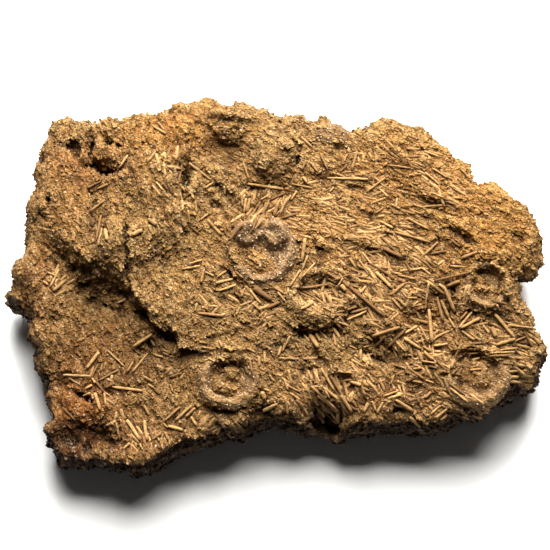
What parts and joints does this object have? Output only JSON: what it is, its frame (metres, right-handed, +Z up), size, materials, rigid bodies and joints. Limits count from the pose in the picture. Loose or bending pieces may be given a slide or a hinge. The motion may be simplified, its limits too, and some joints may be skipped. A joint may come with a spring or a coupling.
{
  "type": "fossil sea urchin slab",
  "caption": "Rough slab of ochre sandy rock with fossil sea urchin tests and loose fossil spines bedded in its upper face.",
  "frame": {"origin": "middle of the flat base, below the middle of the bounding box", "axes": "+X along the slab's length, +Z up out of the fossil-bearing face, +Y towards the undercut long side"},
  "size_m": [0.2186, 0.1515, 0.0497],
  "materials": {
    "rock": "rough sandy matrix",
    "test": "matt fossil shell with tubercles",
    "spine": "matt fossil spines"
  },
  "bodies": {
    "root": {"matrix_slab": "rock", "test_centre": "test", "test_top_left": "test", "test_top_middle": "test", "test_top_right": "test", "test_lower_left": "test", "test_lower_right": "test", "test_right": "test"}
  },
  "joints": []
}
